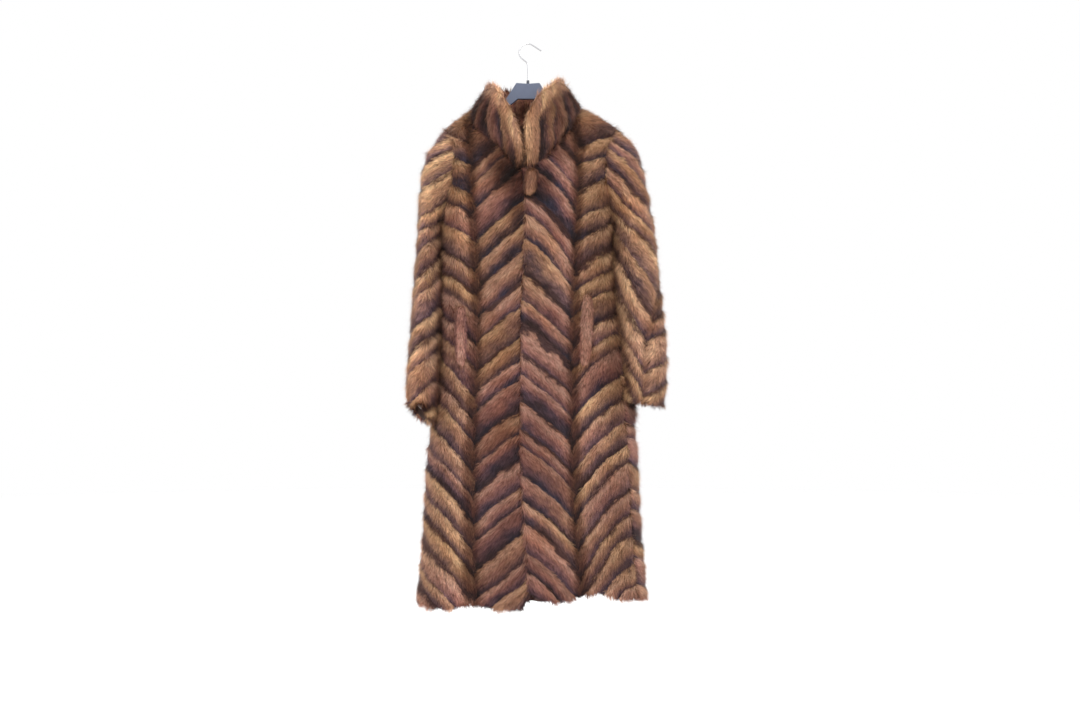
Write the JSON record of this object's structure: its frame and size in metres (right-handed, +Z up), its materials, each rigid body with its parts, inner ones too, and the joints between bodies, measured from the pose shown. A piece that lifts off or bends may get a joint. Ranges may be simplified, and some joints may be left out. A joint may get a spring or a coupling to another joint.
{
  "type": "fur coat on a hanger",
  "caption": "Full-length fur coat pieced from chevron pelt strips, with stand collar, long sleeves and welt pockets, hung closed on a coat hanger.",
  "frame": {"origin": "inside of the top of the hanger's hook, where it rests on a rail", "axes": "+Z up, -Y towards the coat's front, +X towards the wearer's left; the coat hangs below along -Z"},
  "size_m": [0.6215, 0.2437, 1.3427],
  "materials": {
    "fur_golden_brown": "long glossy fur, golden brown with dark bands",
    "fur_dark_brown": "long glossy fur, reddish to dark brown bands",
    "fur_light_brown": "shorter puffed fur, light brown",
    "hanger_plastic": "moulded, satin slate blue",
    "ferrule_plastic": "moulded, dark",
    "hook_steel": "bright bent wire"
  },
  "bodies": {
    "root": {"front_left_centre": "fur_golden_brown", "front_right_centre": "fur_golden_brown", "front_left_side": "fur_dark_brown", "front_right_side": "fur_dark_brown", "back_left_centre": "fur_dark_brown", "back_right_centre": "fur_dark_brown", "back_left_side": "fur_golden_brown", "back_right_side": "fur_golden_brown", "sleeve_left_front": "fur_golden_brown", "sleeve_right_front": "fur_golden_brown", "sleeve_left_back": "fur_dark_brown", "sleeve_right_back": "fur_dark_brown", "collar_left": "fur_golden_brown", "collar_right": "fur_golden_brown", "front_tab": "fur_light_brown", "pocket_welt_left": "fur_light_brown", "pocket_welt_right": "fur_light_brown", "hanger_body": "hanger_plastic", "hanger_ferrule": "ferrule_plastic", "hanger_hook": "hook_steel"}
  },
  "joints": []
}
